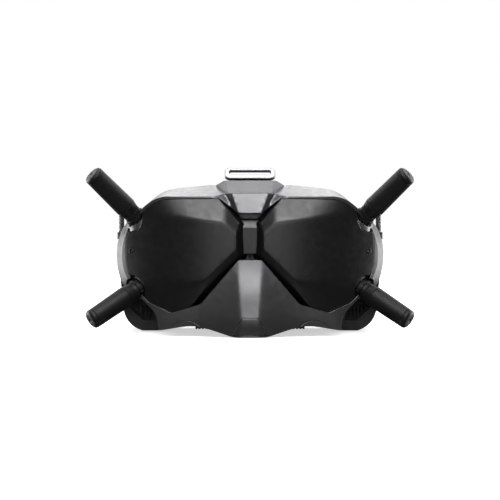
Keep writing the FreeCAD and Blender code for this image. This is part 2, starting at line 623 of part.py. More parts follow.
def rounded_frame(outer, inner, thickness, outer_round, inner_round):
    """Flat frame in the XY plane from two (x0, x1, y0, y1) windows, thickness along Z from 0."""
    def slab(window, radius, margin):
        x0, x1, y0, y1 = window
        solid = Part.makeBox(x1 - x0, y1 - y0, thickness + 2 * margin, Vector(x0, y0, -margin))
        upright = [e for e in solid.Edges if abs(e.Vertexes[0].Z - e.Vertexes[-1].Z) > 0.1]
        return solid.makeFillet(radius, upright)

    return slab(outer, outer_round, 0).cut(slab(inner, inner_round, 1))


def top_strap_loop():
    depth, z = TOP_LOOP_PIVOT
    frame = rounded_frame(TOP_LOOP_FRAME, TOP_LOOP_WINDOW, TOP_LOOP_THICK, 3.6, 1.4)
    upper = [e for e in frame.Edges if min(end.Z for end in e.Vertexes) > TOP_LOOP_THICK - 0.1]
    frame = frame.makeFillet(0.5, upper)
    frame.translate(Vector(0, 0, TOP_LOOP_RISE))
    lug = joined(
        Part.makeCylinder(1.9, 19.6, Vector(-9.8, 0, 0), Vector(1, 0, 0)),
        Part.makeBox(19.6, 3.8, 3.2, Vector(-9.8, -1.9, 0)),
        Part.makeCylinder(LOOP_PIN_R, 26.4, Vector(-13.2, 0, 0), Vector(1, 0, 0)),
    )
    loop = frame.fuse(lug)
    loop.rotate(Vector(0, 0, 0), Vector(1, 0, 0), TOP_LOOP_TILT)
    loop.translate(v(0, depth, z))
    return loop


def side_strap_anchor(outer):
    """Plate on the housing's side with two knuckles that hold the strap loop's bar."""
    x, depth = SIDE_LOOP_PIVOT
    anchor = box(86, 91.4, 74.4, 81.0, SIDE_LOOP_Z + ANCHOR_LOW, SIDE_LOOP_Z + ANCHOR_HIGH)
    ends = [ANCHOR_LOW - 1]
    for low in KNUCKLES_FROM:
        z0, z1 = SIDE_LOOP_Z + low, SIDE_LOOP_Z + low + KNUCKLE_LENGTH
        root = box(87, x, depth - KNUCKLE_R, depth, z0, z1)
        anchor = joined(anchor, rod(v(x, depth, z0), v(x, depth, z1), KNUCKLE_R), root)
        ends += [low - 0.3, low + KNUCKLE_LENGTH + 0.3]
    ends.append(ANCHOR_HIGH + 1)
    low, high = v(x, depth, SIDE_LOOP_Z - 20), v(x, depth, SIDE_LOOP_Z + 20)
    anchor = anchor.cut(rod(low, high, LOOP_PIN_R + PIN_PLAY))
    sweep = rod(low, high, 2.1)
    for z0, z1 in zip(ends[::2], ends[1::2]):
        anchor = anchor.cut(sweep.common(box(80, 100, 70, 90, SIDE_LOOP_Z + z0, SIDE_LOOP_Z + z1)))
    return biggest(anchor.cut(outer))


def strap_loop():
    """D loop for the headband, hinged on its front bar; the +X one."""
    x, depth = SIDE_LOOP_PIVOT
    frame = rounded_frame(SIDE_LOOP_FRAME, SIDE_LOOP_WINDOW, SIDE_LOOP_THICK, 4.0, 1.6)
    frame.translate(Vector(0, 0, -SIDE_LOOP_THICK / 2))
    frame = frame.cut(Part.makeBox(3, 25, 4, Vector(-1, -12.5, -2)))
    loop = frame.fuse(Part.makeCylinder(LOOP_PIN_R, 30, Vector(0.4, -15, 0), Vector(0, 1, 0)))
    loop.translate(Vector(-0.4, 0, 0))
    loop.rotate(Vector(0, 0, 0), Vector(1, 0, 0), 90)
    loop.rotate(Vector(0, 0, 0), Vector(0, 0, 1), 90)
    loop.translate(v(x, depth, SIDE_LOOP_Z))
    return loop


# ---------------------------------------------------------------- antennas
def along_hinge(corner, half, radius):
    rim, along, hinge = antenna_axis(*corner)
    centre = rim + along * PIVOT
    return rod(centre - hinge * half, centre + hinge * half, radius)


def tongue_box(corner, half_width, start, end, front, back):
    """Box on the antenna's axis: half_width along the hinge, start..end along the antenna, and front..back
    across both, where back is towards the wearer."""
    rim, along, hinge = antenna_axis(*corner)
    rearward = hinge.cross(along)
    corner_point = rim + along * start - hinge * half_width + rearward * front
    solid = Part.makeBox(2 * half_width, back - front, end - start)
    matrix = FreeCAD.Matrix(
        hinge.x, rearward.x, along.x, corner_point.x,
        hinge.y, rearward.y, along.y, corner_point.y,
        hinge.z, rearward.z, along.z, corner_point.z,
        0, 0, 0, 1,
    )
    return solid.transformed(matrix)


def antenna_connector(corner):
    """Threaded socket through the boss, with its flange inside the mask."""
    flange = on_axis(corner, -12.2, -11.0, 5.2)
    return flange.fuse(on_axis(corner, -12.2, BASE_FROM - 0.2, BOSS_BORE - 0.3))


def coupling_nut(corner):
    nut = on_axis(corner, NUT_FROM, NUT_TO, NUT_R).cut(on_axis(corner, NUT_FROM, NUT_TO, BOSS_BORE - 0.3))
    rim, along, hinge = antenna_axis(*corner)
    across = hinge.cross(along)
    for n in range(KNURLS):
        angle = 2 * math.pi * n / KNURLS
        groove = rim + (hinge * math.cos(angle) + across * math.sin(angle)) * (NUT_R + KNURL_R / 2)
        nut = nut.cut(rod(groove + along * NUT_FROM, groove + along * NUT_TO, KNURL_R))
    return nut


def antenna_base(corner):
    base = joined(
        on_axis(corner, BASE_FROM, BASE_TO, BASE_R),
        tongue_box(corner, TONGUE / 2, BASE_TO - 0.5, PIVOT, -TONGUE_R, TONGUE_R),
        along_hinge(corner, TONGUE / 2, TONGUE_R),
    )
    return base.cut(along_hinge(corner, TONGUE, HINGE_PIN_R))


def antenna_length(corner):
    return UPPER_LENGTH if corner[0] else LOWER_LENGTH


def antenna_barrel(corner):
    rim, along, _ = antenna_axis(*corner)
    end = antenna_length(corner) - CAP_LENGTH
    seam_at = BARREL_FROM + SEAM_AT
    profile = [(0, BARREL_FROM), (HEEL_R, BARREL_FROM), (ANTENNA_R, seam_at), (TIP_R, end), (0, end)]
    ring = [Vector(r, 0, t) for r, t in profile]
    solid = Part.Face(Part.makePolygon([*ring, ring[0]])).revolve(Vector(0, 0, 0), Vector(0, 0, 1), 360)
    seam = Part.makeCylinder(ANTENNA_R + 1, SEAM_WIDTH, Vector(0, 0, seam_at))
    seam = seam.cut(Part.makeCylinder(ANTENNA_R - SEAM_WIDTH, SEAM_WIDTH, Vector(0, 0, seam_at)))
    solid = solid.cut(seam)
    turn = FreeCAD.Rotation(Vector(0, 0, 1), along)
    solid = solid.transformed(FreeCAD.Placement(rim, turn).Matrix)
    heel = tongue_box(corner, 12, BARREL_FROM - 1, PIVOT, 0, 12)
    solid = solid.cut(heel.cut(along_hinge(corner, 13, PIVOT - BARREL_FROM)))
    solid = solid.cut(tongue_box(corner, TONGUE / 2 + 0.2, 2, PIVOT, -TONGUE_R - 0.3, 12))
    solid = solid.cut(tongue_box(corner, TONGUE / 2 + 0.2, PIVOT - 0.1, PIVOT + TONGUE_R + 0.3, 0, 12))
    solid = solid.cut(along_hinge(corner, TONGUE / 2 + 0.2, TONGUE_R + 0.3))
    solid = solid.cut(along_hinge(corner, 6.55, HINGE_PIN_R + PIN_PLAY))
    return biggest(solid.cut(on_axis(corner, PIVOT + ELEMENT_FROM, end + 1, ELEMENT_BORE)))


def antenna_cap(corner):
    """Separate end cap with a rounded edge, a dimple, and a plug that fits the barrel."""
    rim, along, _ = antenna_axis(*corner)
    length = antenna_length(corner)
    start = length - CAP_LENGTH
    cap = on_axis(corner, start + 0.4, length, TIP_R)
    far = [e for e in cap.Edges if len(e.Vertexes) == 1 and (e.CenterOfMass - rim).dot(along) > length - 0.1]
    cap = cap.makeFillet(2.4, far)
    neck = on_axis(corner, start, start + 0.5, TIP_R - 0.5)
    cap = joined(cap, neck, on_axis(corner, start - CAP_PLUG, start + 0.5, ELEMENT_BORE - 0.1))
    dimple = rim + along * (length + 2.2)
    return cap.cut(Part.makeSphere(2.7, dimple))


def antenna_element(corner):
    start, end = PIVOT + ELEMENT_FROM, antenna_length(corner) - CAP_LENGTH - CAP_PLUG - 0.2
    return tongue_box(corner, 3.2, start, end, -0.5, 0.5)


# ---------------------------------------------------------------- electronics and cooling
def main_board():
    rear = BOARD_DEPTH + BOARD_WALL
    board = box(-BOARD_HALF_WIDTH, BOARD_HALF_WIDTH, BOARD_DEPTH, rear, BOARD_LOW, BOARD_HIGH)
    board = board.cut(box(-12, 12, BOARD_DEPTH - 1, rear + 1, BOARD_LOW - 1, BOARD_LOW + 8))
    chips = [(-40, 62, 14), (40, 62, 14), (-42, 40, 10), (34, 42, 12), (0, 44, 16), (22, 78, 8)]
    for x, z, size in chips:
        half = size / 2
        board = board.fuse(box(x - half, x + half, BOARD_DEPTH - CHIP_THICK, BOARD_DEPTH, z - half, z + half))
    return board


def heat_sink():
    sink = box(-SINK_HALF_WIDTH, SINK_HALF_WIDTH, BOARD_DEPTH - SINK_BASE, BOARD_DEPTH, SINK_LOW, SINK_HIGH)
    front, rear = BOARD_DEPTH - SINK_HEIGHT, BOARD_DEPTH - SINK_BASE + 0.5
    for n in range(FINS):
        x = -SINK_HALF_WIDTH + FIN_PITCH * n
        sink = sink.fuse(box(x, x + FIN_THICK, front, rear, SINK_LOW, SINK_HIGH))
    return sink


def fan_frame():
    half = FAN_SIZE / 2
    depth = FAN_DEPTH
    frame = box(-half, half, depth, depth + FAN_THICK, FAN_Z - half, FAN_Z + half)
    frame = frame.cut(rod(v(0, depth - 1, FAN_Z), v(0, depth + FAN_THICK + 1, FAN_Z), half - 1.0))
    for angle in (30, 150, 270):
        reach = Vector(math.cos(math.radians(angle)), 0, math.sin(math.radians(angle))) * (half - 0.6)
        hub = v(0, depth + 1.1, FAN_Z)
        frame = frame.fuse(rod(hub, hub + reach, 0.8))
    frame = frame.fuse(rod(v(0, depth, FAN_Z), v(0, depth + 3.0, FAN_Z), 3.2))
    frame = frame.cut(rod(v(0, depth - 1, FAN_Z), v(0, depth + FAN_THICK, FAN_Z), 1.0 + PIN_PLAY))
    for x in (-1, 1):
        for z in (-1, 1):
            hole = v(x * (half - 2), depth - 1, FAN_Z + z * (half - 2))
            frame = frame.cut(rod(hole, hole + Vector(0, 12, 0), 0.8))
    return frame


def fan_rotor():
    centre = v(0, FAN_DEPTH, FAN_Z)
    back = Vector(0, 1, 0)
    rotor = joined(
        rod(centre + back * 3.4, centre + back * 8.4, HUB_R),
        rod(centre + back * 0.3, centre + back * 4.0, 1.0),
    )
    blade = Part.makeBox(6.4, 1.0, 5.4, Vector(4.9, -0.5, -2.7))
    blade.rotate(Vector(0, 0, 0), Vector(1, 0, 0), BLADE_PITCH)
    blade.rotate(Vector(0, 0, 0), Vector(1, 0, 0), -90)
    for n in range(BLADES):
        turned = blade.copy()
        turned.rotate(Vector(0, 0, 0), Vector(0, 1, 0), 360 / BLADES * n)
        turned.translate(centre + back * 5.9)
        rotor = rotor.fuse(turned)
    return rotor.common(rod(centre, centre + back * 8.4, FAN_SIZE / 2 - 1.6))


# ---------------------------------------------------------------- eyepieces
def eyepiece_barrel(side):
    x = side * EYE_X
    tube = rod(v(x, BARREL_FRONT, EYE_Z), v(x, BARREL_REAR, EYE_Z), BARREL_R, BARREL_R - BARREL_WALL)
    seat = rod(v(x, LENS_SEAT - 1.5, EYE_Z), v(x, LENS_SEAT, EYE_Z), BARREL_R - 1.5, BARREL_R - 3.4)
    bezel = rod(v(x, BARREL_REAR - 3.4, EYE_Z), v(x, BARREL_REAR, EYE_Z), BARREL_R + 2.4, BARREL_R - 1.0)
    lug = box(x - 5, x + 5, ROD_DEPTH - 3, ROD_DEPTH + 3, EYE_Z + BARREL_R - 2.5, ROD_HEIGHTS[1] + 3)
    lug = lug.cut(rod(v(x, 40, EYE_Z), v(x, 90, EYE_Z), BARREL_R - 1.0))
    barrel = joined(tube, seat, bezel, lug)
    z = ROD_HEIGHTS[1]
    return barrel.cut(rod(v(x - 9, ROD_DEPTH, z), v(x + 9, ROD_DEPTH, z), ROD_R + PIN_PLAY))


def eyepiece_lens(side):
    """Lens on the seat inside the barrel, with its bulge towards the eye."""
    x = side * EYE_X
    blank = rod(v(x, LENS_SEAT, EYE_Z), v(x, LENS_REAR + 1, EYE_Z), BARREL_R - BARREL_WALL)
    return blank.common(Part.makeSphere(LENS_CURVE, v(x, LENS_REAR - LENS_CURVE, EYE_Z)))


def display_panel(side):
    x = side * EYE_X
    w, h = PANEL_HALF_WIDTH, PANEL_HALF_HEIGHT
    return box(x - w, x + w, BARREL_FRONT - PANEL_THICK, BARREL_FRONT, EYE_Z - h, EYE_Z + h)


def ipd_slider(side):
    """Arm from the barrel, guided by the lower rod, down through the housing's floor to a finger knob."""
    x = side * EYE_X
    z = ROD_HEIGHTS[0]
    arm = joined(
        box(x - 5, x + 5, ROD_DEPTH - 2.6, ROD_DEPTH + 2.6, z - 3, EYE_Z - BARREL_R + 2.5),
        box(x - SLIDER_HALF, x + SLIDER_HALF, ROD_DEPTH - 1.5, ROD_DEPTH + 1.5, 2.2, z),
        box(x - 6.5, x + 6.5, ROD_DEPTH - 3.6, ROD_DEPTH + 3.6, 0.9, 3.4),
    )
    for n in range(-2, 3):
        arm = arm.cut(box(x + 2.4 * n - 0.5, x + 2.4 * n + 0.5, ROD_DEPTH - 5, ROD_DEPTH + 5, 0.5, 1.4))
    arm = arm.cut(rod(v(x, 40, EYE_Z), v(x, 90, EYE_Z), BARREL_R))
    return arm.cut(rod(v(x - 9, ROD_DEPTH, z), v(x + 9, ROD_DEPTH, z), ROD_R + PIN_PLAY))


# ---------------------------------------------------------------- controls and ports on the rear housing's sides
SHOULDER = Vector(0.712, 0, 0.702)  # the way the +X shoulder of the housing faces


def shoulder_place(side, along):
    """A point on the housing's shoulder, at a share of its length from the top, and the way that it faces."""
    share = (CONTROL_DEPTH - MASK_REAR) / (HOUSING_END - MASK_REAR)
    (x0, z0), (x1, z1) = (
        tuple(a * (1 - share) + b * share for a, b in zip(HOUSING_FRONT[n], HOUSING_REAR[n])) for n in (5, 6)
    )
    place = v(side * (x0 + (x1 - x0) * along), CONTROL_DEPTH, z0 + (z1 - z0) * along)
    return place + Vector(side * SHOULDER.x, 0, SHOULDER.z) * 0.5, Vector(side * SHOULDER.x, 0, SHOULDER.z)


def side_place(side, depth, z):
    return v(side * side_x(depth, z), depth, z), Vector(side, 0, 0)


BUTTONS = {
    "record_button": (shoulder_place, (1, 0.28)),
    "back_button": (shoulder_place, (1, 0.72)),
    "link_button": (shoulder_place, (-1, 0.5)),
    "channel_up_button": (side_place, (-1, CONTROL_DEPTH, 45.0)),
    "channel_down_button": (side_place, (-1, CONTROL_DEPTH, 36.5)),
}


def button(name):
    finder, where = BUTTONS[name]
    place, out = finder(*where)
    cap = rod(place - out * 3.6, place + out * BUTTON_PROUD, BUTTON_R)
    rims = [e for e in cap.Edges if len(e.Vertexes) == 1 and (e.CenterOfMass - place).dot(out) > 0]
    cap = cap.makeFillet(0.5, rims)
    return cap.fuse(rod(place - out * 3.9, place - out * 3.1, BUTTON_R + 0.8))


def jack(z, radius, bore, depth_in, pin=0.0):
    """Round socket on the +X side, flush with the housing."""
    x = side_x(CONTROL_DEPTH, z)
    body = rod(v(x - depth_in - 1.5, CONTROL_DEPTH, z), v(x, CONTROL_DEPTH, z), radius)
    body = body.cut(rod(v(x - depth_in, CONTROL_DEPTH, z), v(x + 2, CONTROL_DEPTH, z), bore))
    if pin:
        body = body.fuse(rod(v(x - depth_in - 1, CONTROL_DEPTH, z), v(x - 1.5, CONTROL_DEPTH, z), pin))
    return body


def port_box(z, half_width, half_height, outset=0.0, x0=78.0, x1=95.0):
    """Box through the -X side wall, long in depth."""
    w, h = half_width + outset, half_height + outset
    return mirrored(box(x0, x1, CONTROL_DEPTH - 0.4 - w, CONTROL_DEPTH - 0.4 + w, z - h, z + h))


def usb_c_port():
    x = side_x(CONTROL_DEPTH, USB_Z)
    shell = port_box(USB_Z, 4.6, 1.7, 0, x - 8, x - 0.2)
    shell = shell.cut(port_box(USB_Z, 4.2, 1.3, 0, x - 7, x + 2))
    return shell.fuse(port_box(USB_Z, 3.4, 0.35, 0, x - 7.5, x - 1.4))


def microsd_slot():
    x = side_x(CONTROL_DEPTH, 13.0)
    shell = port_box(CARD_Z, 1.4, 5.9, 0, x - 12, x - 0.3)
    return shell.cut(port_box(CARD_Z, 0.45, 5.5, 0, x - 11, x + 2))


def channel_display(outer):
    x = side_x(CONTROL_DEPTH, DISPLAY_Z)
    return port_box(DISPLAY_Z, 4.4, 7.0, 0, x - 2.4, x + 3).common(outer)


def wall_tools():
    """Everything that is cut through the rear housing's walls for controls and ports."""
    tools = []
    for finder, where in BUTTONS.values():
        place, out = finder(*where)
        tools.append(rod(place - out * 6, place + out * 4, BUTTON_R + 0.3))
    for z, radius in JACKS.values():
        tools.append(rod(v(80, CONTROL_DEPTH, z), v(96, CONTROL_DEPTH, z), radius))
    tools.append(rod(v(87, CONTROL_DEPTH, STICK_Z), v(96, CONTROL_DEPTH, STICK_Z), STICK_HOLE_R))
    tools.append(port_box(USB_Z, 4.6, 1.7))
    tools.append(port_box(CARD_Z, 1.4, 5.9))
    tools.append(port_box(DISPLAY_Z, 4.4, 7.0, 0.1, 86.0))
    return tools


def joystick_ring():
    x, d, z = STICK_X, CONTROL_DEPTH, STICK_Z
    ring = rod(v(x - 1, d, z), v(x + 1, d, z), 4.2, 3.0)
    for way in (1, -1):
        ring = ring.fuse(rod(v(x, d, z + way * 3.6), v(x, d, z + way * 5.4), 0.6))
    return ring.cut(rod(v(x, d - 5, z), v(x, d + 5, z), 0.6 + PIN_PLAY))


def joystick_stem():
    x, d, z = STICK_X, CONTROL_DEPTH, STICK_Z
    return joined(
        rod(v(x - 1.0, d, z), v(x + 2.6, d, z), 1.6),
        rod(v(x, d - 3.9, z), v(x, d + 3.9, z), 0.6),
        rod(v(x + 2, d, z), v(x + 6.0, d, z), 0.9),
    )


def joystick_cap():
    x, d, z = STICK_X, CONTROL_DEPTH, STICK_Z
    cap = rod(v(x + 3.4, d, z), v(x + 7.8, d, z), 4.1)
    rims = [e for e in cap.Edges if len(e.Vertexes) == 1 and e.CenterOfMass.x > x + 7.7]
    cap = cap.makeFillet(1.2, rims).cut(Part.makeSphere(6.0, v(x + 7.3 + 6.0, d, z)))
    return cap.cut(rod(v(x + 3, d, z), v(x + 6.8, d, z), 0.9 + PIN_PLAY))


def switch_boards():
    """Small boards behind the controls: one on each side wall and one under each shoulder."""
    d = CONTROL_DEPTH
    boards = []
    left = box(82.3, 83.5, d - 4.5, d + 4.5, STICK_Z - 8, STICK_Z + 8)
    for sign in (1, -1):
        z = STICK_Z + sign * 5.5
        holder = box(83.0, STICK_X + 1.2, d - 1.2, d + 1.2, min(z - 0.8, z + 0.8), max(z - 0.8, z + 0.8))
        bore = rod(v(STICK_X, d, STICK_Z + sign * 4), v(STICK_X, d, STICK_Z + sign * 5.7), 0.6 + PIN_PLAY)
        left = left.fuse(holder).cut(bore)
    boards.append(left)
    right = mirrored(box(82.3, 83.5, d - 4.5, d + 4.5, 32, 50))
    for z in (45.0, 36.5):
        top = side_x(d, z) - 4.9
        right = right.fuse(mirrored(box(83.0, top, d - 2.5, d + 2.5, z - 2.5, z + 2.5)))
    boards.append(right)
    for name in ("record_button", "back_button", "link_button"):
        finder, where = BUTTONS[name]
        place, out = finder(*where)
        boards.append(rod(place - out * 7.5, place - out * 4.9, 2.6))
    return Part.makeCompound(boards)


# ---------------------------------------------------------------- the nodes
def build():
    outer = rear_outer()
    nodes = {
        "mask_shell": mask_shell(),
        "front_visor": front_visor(),
        "nose_insert": nose_insert(),
        "lower_trims": pair(lower_trim()),
        "visor_screws": visor_screws(),
        "strap_bracket": strap_bracket(),
        "top_strap_loop": top_strap_loop(),
        "rear_housing": rear_housing(outer),
        "nose_bridge_cover": nose_bridge_cover(outer),
        "intake_grilles": intake_grilles(),
        "lens_plate": lens_plate(),
        "pad_frame": pad_frame(),
        "face_pad": face_pad(),
        "side_strap_anchors": pair(side_strap_anchor(outer)),
        "strap_loop_left": strap_loop(),
        "strap_loop_right": mirrored(strap_loop()),
        "main_board": main_board(),
        "heat_sink": heat_sink(),
        "fan_frame": fan_frame(),
        "fan_rotor": fan_rotor(),
        "ipd_rods": ipd_rods(),
        "antenna_connectors": Part.makeCompound([antenna_connector(c) for c in CORNERS.values()]),
        "coupling_nuts": Part.makeCompound([coupling_nut(c) for c in CORNERS.values()]),
        "antenna_bases": Part.makeCompound([antenna_base(c) for c in CORNERS.values()]),
        "antenna_hinge_pins": Part.makeCompound([along_hinge(c, 6.4, HINGE_PIN_R) for c in CORNERS.values()]),
        "audio_jack": jack(*JACKS["audio"], PLUG_R, PLUG_LENGTH),
        "av_in_jack": jack(*JACKS["av_in"], PLUG_R, PLUG_LENGTH),
        "power_jack": jack(*JACKS["power"], POWER_R, POWER_LENGTH, POWER_PIN_R),
        "usb_c_port": usb_c_port(),
        "microsd_slot": microsd_slot(),
        "channel_display": channel_display(outer),
        "joystick_ring": joystick_ring(),
        "joystick_stem": joystick_stem(),
        "joystick_cap": joystick_cap(),
        "switch_boards": switch_boards(),
    }
    for name, corner in CORNERS.items():
        nodes[f"antenna_barrel_{name}"] = antenna_barrel(corner)
        nodes[f"antenna_cap_{name}"] = antenna_cap(corner)
        nodes[f"antenna_element_{name}"] = antenna_element(corner)
    for name, side in (("left", 1), ("right", -1)):
        nodes[f"eyepiece_barrel_{name}"] = eyepiece_barrel(side)
        nodes[f"eyepiece_lens_{name}"] = eyepiece_lens(side)
        nodes[f"display_panel_{name}"] = display_panel(side)
        nodes[f"ipd_slider_{name}"] = ipd_slider(side)
    for name in BUTTONS:
        nodes[name] = button(name)
    return nodes


if __name__ == "__main__":
    os.makedirs("parts", exist_ok=True)
    for node, shape in build().items():
        print(node, len(shape.Solids), shape.isValid(), round(shape.Volume))
        shape.exportStep(f"parts/{node}.step")
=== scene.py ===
import json
import math

import bpy
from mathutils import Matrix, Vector


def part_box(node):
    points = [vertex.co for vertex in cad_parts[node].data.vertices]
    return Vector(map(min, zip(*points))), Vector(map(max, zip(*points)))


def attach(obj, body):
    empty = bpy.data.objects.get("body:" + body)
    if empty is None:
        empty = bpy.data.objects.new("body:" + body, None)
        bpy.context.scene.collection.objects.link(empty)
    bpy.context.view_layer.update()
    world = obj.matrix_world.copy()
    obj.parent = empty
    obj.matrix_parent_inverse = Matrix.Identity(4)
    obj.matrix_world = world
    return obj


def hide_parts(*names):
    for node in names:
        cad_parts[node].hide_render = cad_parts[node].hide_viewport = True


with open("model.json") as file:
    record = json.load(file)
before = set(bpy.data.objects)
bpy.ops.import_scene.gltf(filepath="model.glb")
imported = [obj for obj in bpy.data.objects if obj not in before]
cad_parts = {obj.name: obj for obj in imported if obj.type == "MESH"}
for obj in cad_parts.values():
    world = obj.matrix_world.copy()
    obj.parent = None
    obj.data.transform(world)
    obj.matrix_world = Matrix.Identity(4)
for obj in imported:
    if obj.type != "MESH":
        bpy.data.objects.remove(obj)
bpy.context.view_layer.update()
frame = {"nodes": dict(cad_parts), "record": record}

NODES = frame["nodes"]


# ---------------------------------------------------------------- camera
BODY_DEPTH = 0.122
FRONT_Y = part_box("face_pad")[1].y - BODY_DEPTH  # the frontmost plane of the goggles
AIM_DEPTH, AIM_HEIGHT = 0.050, 0.0570
VIEW_CENTRE = Vector((0.0, FRONT_Y + AIM_DEPTH, AIM_HEIGHT))
VIEW_DISTANCE = 1.0
VIEW_ELEVATION = math.radians(1.5)
VIEW_WIDTH = 0.3475  # what the image spans at the distance of VIEW_CENTRE
SENSOR = 36.0


def make_camera():
    data = bpy.data.cameras.new("camera")
    camera = bpy.data.objects.new("camera", data)
    bpy.context.scene.collection.objects.link(camera)
    back = Vector((0, -math.cos(VIEW_ELEVATION), math.sin(VIEW_ELEVATION)))
    camera.location = VIEW_CENTRE + back * VIEW_DISTANCE
    camera.rotation_euler = (-back).to_track_quat("-Z", "Y").to_euler()
    data.sensor_width = SENSOR
    data.lens = SENSOR * VIEW_DISTANCE / VIEW_WIDTH
    data.clip_start, data.clip_end = 0.01, 50
    bpy.context.scene.camera = camera


# ---------------------------------------------------------------- light and stage
LIGHTS_AIM = Vector((0, 0, 0.055))
SOFTBOXES = {  # place, width, height, watts
    "front_top_softbox": ((0, -1.0, 1.05), 0.8, 0.5, 15),
    "top_softbox": ((0, 0.1, 1.4), 1.0, 0.8, 15),
    "back_softbox": ((0, 1.4, 0.85), 2.4, 0.7, 16),
    "left_softbox": ((-1.15, 0.5, 0.15), 0.7, 1.1, 22),
    "right_softbox": ((1.15, 0.5, 0.15), 0.7, 1.1, 22),
    "front_softbox": ((0, -1.6, 0.3), 0.7, 0.5, 4),
    "bounce_softbox": ((0, -0.4, -0.9), 1.2, 0.8, 1.2),
}
SKY_STRENGTH = 0.05
DOME_RADIUS = 8
FLOOR_SIZE, FLOOR_DROP = 12, 0.0002
FLOOR_NEAR, FLOOR_FAR = 0.13, 0.42  # the floor's own glow rises from here, and is pure white there
FLOOR_GLOW = 0.55


def softbox(name, place, width, height, watts):
    light = bpy.data.lights.new(name, "AREA")
    light.shape, light.size, light.size_y = "RECTANGLE", width, height
    light.energy = watts
    lamp = bpy.data.objects.new(name, light)
    bpy.context.scene.collection.objects.link(lamp)
    lamp.location = place
    lamp.rotation_euler = (LIGHTS_AIM - Vector(place)).to_track_quat("-Z", "Y").to_euler()
    lamp.visible_camera = False


def plain_white_glow(name):
    material = bpy.data.materials.new(name)
    material.use_nodes = True
    tree = material.node_tree
    tree.nodes.clear()
    glow = tree.nodes.new("ShaderNodeEmission")
    glow.inputs["Color"].default_value = (1, 1, 1, 1)
    glow.inputs["Strength"].default_value = 1.0
    out = tree.nodes.new("ShaderNodeOutputMaterial")
    tree.links.new(glow.outputs[0], out.inputs["Surface"])
    return material


def make_floor():
    """Pale floor whose glow rises away from the goggles until it meets the white surround."""
    bpy.ops.mesh.primitive_plane_add(size=FLOOR_SIZE)
    floor = bpy.context.object
    floor.name = "pale_floor"
    floor.location.z = -FLOOR_DROP
    material = bpy.data.materials.new("pale_floor")
    material.use_nodes = True
    tree = material.node_tree
    shader = tree.nodes["Principled BSDF"]
    shader.inputs["Base Color"].default_value = (0.9, 0.9, 0.9, 1)
    shader.inputs["Roughness"].default_value = 0.9
    shader.inputs["Specular IOR Level"].default_value = 0.0
    shader.inputs["Emission Color"].default_value = (1, 1, 1, 1)
    place = tree.nodes.new("ShaderNodeTexCoord")
    length = tree.nodes.new("ShaderNodeVectorMath")
    length.operation = "LENGTH"
    glow = tree.nodes.new("ShaderNodeMapRange")
    glow.interpolation_type = "SMOOTHSTEP"
    limits = {"From Min": FLOOR_NEAR, "From Max": FLOOR_FAR, "To Min": FLOOR_GLOW, "To Max": 1.0}
    for socket, value in limits.items():
        glow.inputs[socket].default_value = value
    tree.links.new(place.outputs["Object"], length.inputs[0])
    tree.links.new(length.outputs["Value"], glow.inputs["Value"])
    tree.links.new(glow.outputs["Result"], shader.inputs["Emission Strength"])
    floor.data.materials.append(material)
    floor.visible_diffuse = floor.visible_glossy = floor.visible_shadow = False
    return floor


def make_dome():
    """White surround that only the camera sees."""
    bpy.ops.mesh.primitive_uv_sphere_add(segments=64, ring_count=32, radius=DOME_RADIUS)
    dome = bpy.context.object
    dome.name = "white_cyclorama"
    dome.data.materials.append(plain_white_glow("cyclorama_white"))
    dome.visible_diffuse = dome.visible_glossy = dome.visible_transmission = dome.visible_shadow = False
    return dome


def make_stage():
    scene = bpy.context.scene
    scene.view_settings.view_transform = "Standard"
    world = bpy.data.worlds.new("studio")
    scene.world = world
    world.use_nodes = True
    background = world.node_tree.nodes["Background"]
    background.inputs["Color"].default_value = (1, 1, 1, 1)
    background.inputs["Strength"].default_value = SKY_STRENGTH
    make_dome()
    make_floor()
    for name, (place, width, height, watts) in SOFTBOXES.items():
        softbox(name, place, width, height, watts)


